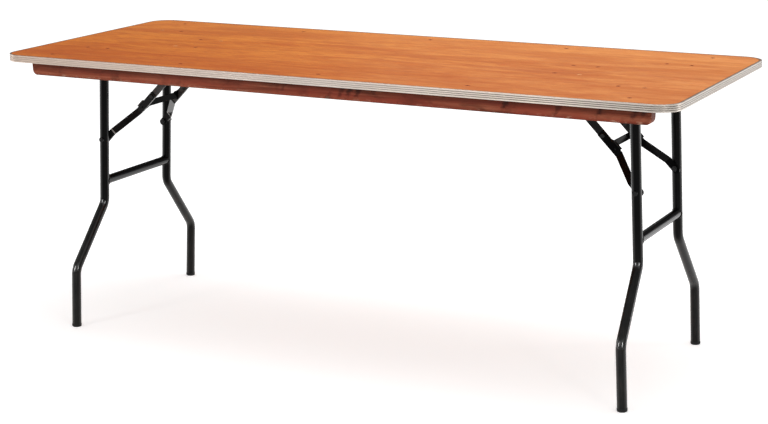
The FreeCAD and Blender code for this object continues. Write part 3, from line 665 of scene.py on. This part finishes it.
def crossbar_welds(side):
    low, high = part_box(f"{side}_crossbar")
    middle = (low + high) / 2
    bar_radius = (high.z - low.z) / 2
    lean = LEG_SPLAY * SIDES[side]
    shape = bmesh.new()
    for hand in ROWS.values():
        inward = Vector((0, -hand, 0))
        stations = []
        for step in range(WELD_STEPS):
            turn = 2 * math.pi * step / WELD_STEPS
            outward = Vector((math.cos(turn), 0, math.sin(turn)))
            point = middle + outward * bar_radius
            sideways = bar_radius * (outward.x * math.cos(lean) + outward.z * math.sin(lean))
            point.y = hand * (LEG_SPREAD - math.sqrt(TUBE_RADIUS**2 - sideways**2))
            radius = WELD_RADIUS * (1 + ripple(turn, hand) + WELD_THICKENING * abs(outward.z))
            stations.append((point, outward, inward, radius))
        sweep(shape, stations, closed=True)
    add_piece(f"{side}_crossbar_welds", shape, f"{side}_leg", "black_paint")


# Welds where each brace tie meets the upper straps, rounded off at their ends
TIE_WELD_RADIUS = 0.0014
TIE_WELD_STEPS = 24
TIE_WELD_PHASES = (0.4, 1.7)
TIE_WELD_TURN = 3
TIE_WELD_ROUNDING = 4
TIE_WELD_LEAST = 0.15


def tie_welds(side):
    low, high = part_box(f"{side}_brace_tie")
    shape = bmesh.new()
    for hand in ROWS.values():
        for face_x, phase in zip((low.x, high.x), TIE_WELD_PHASES):
            stations = []
            for step in range(TIE_WELD_STEPS + 1):
                share = step / TIE_WELD_STEPS
                point = Vector((face_x, hand * high.y, low.z + share * (high.z - low.z)))
                swell = math.sqrt(max(0.0, 1 - (2 * share - 1) ** TIE_WELD_ROUNDING))
                swell += ripple(TIE_WELD_TURN * share, phase)
                radius = TIE_WELD_RADIUS * max(TIE_WELD_LEAST, swell)
                stations.append((point, Vector((1, 0, 0)), Vector((0, hand, 0)), radius))
            sweep(shape, stations, closed=False)
    add_piece(f"{side}_tie_welds", shape, f"{side}_upper_brace", "black_paint")


# The lock button in the hole of each upper strap: distance from the strap's outer face, radius
POINT_RADIUS = 0.00001
LOCK_PROFILE = (
    (0.0000, POINT_RADIUS), (0.0000, 0.0021), (0.0003, 0.0024), (0.0030, 0.0024), (0.0030, 0.0040),
    (0.0036, 0.0039), (0.0042, 0.0033), (0.0046, 0.0020), (0.0047, POINT_RADIUS),
)
LOCK_SIDES = 24


def lock_buttons(side):
    hole_x = BRACE_BOLT.x - LOCK_HOLE_REACH * math.cos(BRACE_SLOPE)
    hole_z = BRACE_BOLT.z + LOCK_HOLE_REACH * math.sin(BRACE_SLOPE)
    shape = bmesh.new()
    for hand in ROWS.values():
        stations = []
        for depth, radius in LOCK_PROFILE:
            centre = Vector((SIDES[side] * hole_x, hand * (STRAP_OUTER - depth), hole_z))
            stations.append((centre, Vector((1, 0, 0)), Vector((0, 0, 1)), radius))
        sweep(shape, stations, closed=False, points=LOCK_SIDES)
    add_piece(f"{side}_lock_buttons", shape, f"{side}_upper_brace", "black_hardware", smooth=False)


# Heads with a cross recess: its size as shares of the head's radius, depth in metres, and spin in radians
RECESS_LENGTH_SHARE = 0.62
RECESS_WIDTH_SHARE = 0.17
RECESS_TAPER = 0.72
RECESS_DEPTH = 0.0016
RECESS_SPIN = 0.7

# Least divisor in the outline of a cross
LEAST_SLOPE = 1e-6


def cross_reach(turn, half_length, half_width):
    """Distance from the centre of a cross to its outline in one direction."""
    flat = max(abs(math.cos(turn)), LEAST_SLOPE)
    steep = max(abs(math.sin(turn)), LEAST_SLOPE)
    first = min(half_length / flat, half_width / steep)
    second = min(half_width / flat, half_length / steep)
    return max(first, second)


def loops_of(edges):
    """Groups of vertices that the edges join."""
    waiting = {vertex for edge in edges for vertex in edge.verts}
    joined = {vertex: [] for vertex in waiting}
    for edge in edges:
        joined[edge.verts[0]].append(edge.verts[1])
        joined[edge.verts[1]].append(edge.verts[0])
    loops = []
    while waiting:
        group = [min(waiting, key=lambda vertex: vertex.index)]
        waiting.discard(group[0])
        for vertex in group:
            for other in joined[vertex]:
                if other in waiting:
                    waiting.discard(other)
                    group.append(other)
        loops.append(group)
    return loops


def cut_recess(shape, rim, spin):
    """Close the open top of a head round a cross recess with tapering walls."""
    centre = sum((vertex.co for vertex in rim), Vector()) / len(rim)
    radius = (rim[0].co - centre).length

    def bearing(vertex):
        return math.atan2(vertex.co.y - centre.y, vertex.co.x - centre.x)

    rim = sorted(rim, key=bearing)
    brink = []
    floor = []
    for vertex in rim:
        turn = bearing(vertex)
        reach = cross_reach(turn + spin, radius * RECESS_LENGTH_SHARE, radius * RECESS_WIDTH_SHARE)
        aim = Vector((math.cos(turn), math.sin(turn), 0))
        brink.append(shape.verts.new(centre + aim * reach))
        floor.append(shape.verts.new(centre + aim * reach * RECESS_TAPER - Vector((0, 0, RECESS_DEPTH))))
    for step in range(len(rim)):
        after = (step + 1) % len(rim)
        shape.faces.new((rim[step], rim[after], brink[after], brink[step]))
        shape.faces.new((brink[step], brink[after], floor[after], floor[step]))
    shape.faces.new(floor)


def recessed_heads(node):
    shape = joined_copy(node)
    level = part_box(node)[1].z - FLUSH_DISTANCE
    tops = [face for face in shape.faces if min(vertex.co.z for vertex in face.verts) > level]
    bmesh.ops.delete(shape, geom=tops, context="FACES")
    shape.verts.index_update()
    rims = loops_of([edge for edge in shape.edges if edge.is_boundary])
    for index, rim in enumerate(rims):
        cut_recess(shape, rim, RECESS_SPIN * index)
    piece = add_piece(f"{node}_recessed", shape, "table_top", "plated_steel", smooth=False)
    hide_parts(node)


# Rails with softened lower and end edges: sizes in metres, and angles in radians
RAIL_EDGE = 0.0018
RAIL_EDGE_STEPS = 3
RAIL_TOP_MARGIN = 0.0005
FLAT_ANGLE = math.radians(0.5)
SHARP_ANGLE = math.radians(30)


def softened_rail(node):
    low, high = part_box(node)
    shape = joined_copy(node)
    bmesh.ops.dissolve_limit(shape, angle_limit=FLAT_ANGLE, verts=shape.verts, edges=shape.edges)

    def on_outline(edge):
        sides = [[abs(vertex.co.y - y) for vertex in edge.verts] for y in (low.y, high.y)]
        flush = any(max(distances) < FLUSH_DISTANCE for distances in sides)
        below = max(vertex.co.z for vertex in edge.verts) < high.z - RAIL_TOP_MARGIN
        return flush and below and edge.calc_face_angle(0.0) > SHARP_ANGLE

    edges = [edge for edge in shape.edges if on_outline(edge)]
    rounding = {"offset": RAIL_EDGE, "segments": RAIL_EDGE_STEPS, "profile": 0.5}
    bmesh.ops.bevel(shape, geom=edges, affect="EDGES", clamp_overlap=True, **rounding)
    piece = add_piece(f"{node}_softened", shape, "table_top", "stained_wood", smooth=False)
    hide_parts(node)


for side_name in SIDES:
    crossbar_welds(side_name)
    tie_welds(side_name)
    lock_buttons(side_name)
for node_name in ("rail_screws", "leg_bracket_bolts", "brace_bracket_bolts"):
    recessed_heads(node_name)
for node_name in ("front_rail", "rear_rail"):
    softened_rail(node_name)


# White floor that keeps the shadow: half its length in metres, colour, and glow by distance in metres
FLOOR_REACH = 20.0
FLOOR_COLOUR = (0.8, 0.8, 0.8, 1.0)
GLOW_DISTANCES = (1.5, 5.0)
GLOW_LEVELS = (0.55, 0.75)

# Room round the table: colour, brightness of walls and ceiling, and the upward slopes that they lie at
ROOM_COLOUR = (1.0, 1.0, 1.0, 1.0)
ROOM_LEVELS = (0.14, 0.6)
ROOM_SLOPES = (0.2, 0.8)

# Soft lamps: place, point that each faces, width and height, all in metres, and power in watts
LAMPS = {
    "key": ((0.4, 0.2, 3.4), (0.2, 0.0, 0.7), (3.0, 2.0), 73),
    "front_left": ((-2.0, -3.7, 1.7), (0.0, 0.0, 0.7), (0.5, 1.6), 27),
    "front_right": ((4.1, -3.1, 1.7), (0.0, 0.0, 0.7), (0.5, 1.6), 27),
    "right": ((3.8, 2.0, 1.2), (0.6, 0.0, 0.5), (0.5, 2.2), 24),
    "left": ((-4.0, -0.6, 1.2), (-0.2, 0.0, 0.5), (0.5, 2.2), 9),
    "rear": ((-1.3, 5.0, 1.95), (0.2, 0.0, 0.7), (2.6, 1.4), 2.2),
    "rear_right": ((2.9, 4.0, 0.9), (0.8, 0.0, 0.4), (1.0, 1.6), 7),
}


def seen_directly(graph):
    """1 for rays from the camera, a reflection or a clear piece, 0 for the light on the table."""
    rays = graph.add("ShaderNodeLightPath", {}).outputs
    seen = rays["Is Camera Ray"]
    for kind in ("Is Glossy Ray", "Is Transmission Ray"):
        seen = graph.math("MAXIMUM", seen, rays[kind])
    return seen


def floor_paint():
    """Matt white with a glow that only shows where the floor is seen directly."""
    material = bpy.data.materials.new("floor")
    graph = Graph(material, "ShaderNodeOutputMaterial")
    place = graph.add("ShaderNodeTexCoord", {}).outputs["Object"]
    distance = graph.add("ShaderNodeVectorMath", {0: place}, operation="LENGTH").outputs["Value"]
    level = graph.between(distance, *GLOW_DISTANCES, *GLOW_LEVELS, curve="LINEAR")
    glow = graph.add("ShaderNodeEmission", {"Strength": graph.product(seen_directly(graph), level)})
    plain = graph.add("ShaderNodeBsdfDiffuse", {"Color": FLOOR_COLOUR})
    graph.show(graph.add("ShaderNodeAddShader", {0: plain.outputs[0], 1: glow.outputs[0]}))
    return material


def white_floor(reach):
    mesh = bpy.data.meshes.new("floor")
    corners = [(-reach, -reach, 0), (reach, -reach, 0), (reach, reach, 0), (-reach, reach, 0)]
    mesh.from_pydata(corners, [], [(0, 1, 2, 3)])
    floor = bpy.data.objects.new("floor", mesh)
    bpy.context.collection.objects.link(floor)
    floor.data.materials.append(floor_paint())


def studio_world():
    """A plain white room, dim along the walls and brighter overhead."""
    world = bpy.data.worlds.new("studio")
    bpy.context.scene.world = world
    graph = Graph(world, "ShaderNodeOutputWorld")
    direction = graph.add("ShaderNodeTexCoord", {}).outputs["Generated"]
    level = graph.between(graph.axis(direction, "Z"), *ROOM_SLOPES, *ROOM_LEVELS)
    graph.show(graph.add("ShaderNodeBackground", {"Color": ROOM_COLOUR, "Strength": level}))


def softbox(name, place, aim, size, power):
    light = bpy.data.lights.new(name, "AREA")
    light.shape = "RECTANGLE"
    light.size, light.size_y = size
    light.energy = power
    lamp = bpy.data.objects.new(name, light)
    lamp.location = place
    lamp.rotation_euler = (Vector(aim) - Vector(place)).to_track_quat("-Z", "Y").to_euler()
    bpy.context.collection.objects.link(lamp)


def photo_camera():
    camera = bpy.data.cameras.new("photo_camera")
    camera.sensor_width = SENSOR_WIDTH
    camera.lens = FOCAL_PIXELS / IMAGE_WIDTH * SENSOR_WIDTH
    view = bpy.data.objects.new("photo_camera", camera)
    level = Euler((math.radians(90 - CAMERA_PITCH), 0, math.radians(CAMERA_YAW)), "XYZ").to_matrix()
    rolled = level @ Matrix.Rotation(math.radians(CAMERA_ROLL), 3, "Z")
    view.matrix_world = Matrix.Translation(CAMERA_PLACE) @ rolled.to_4x4()
    bpy.context.collection.objects.link(view)
    bpy.context.scene.camera = view


white_floor(FLOOR_REACH)
studio_world()
for lamp_name, lamp_values in LAMPS.items():
    softbox(lamp_name, *lamp_values)
photo_camera()
bpy.context.scene.view_settings.view_transform = "Standard"
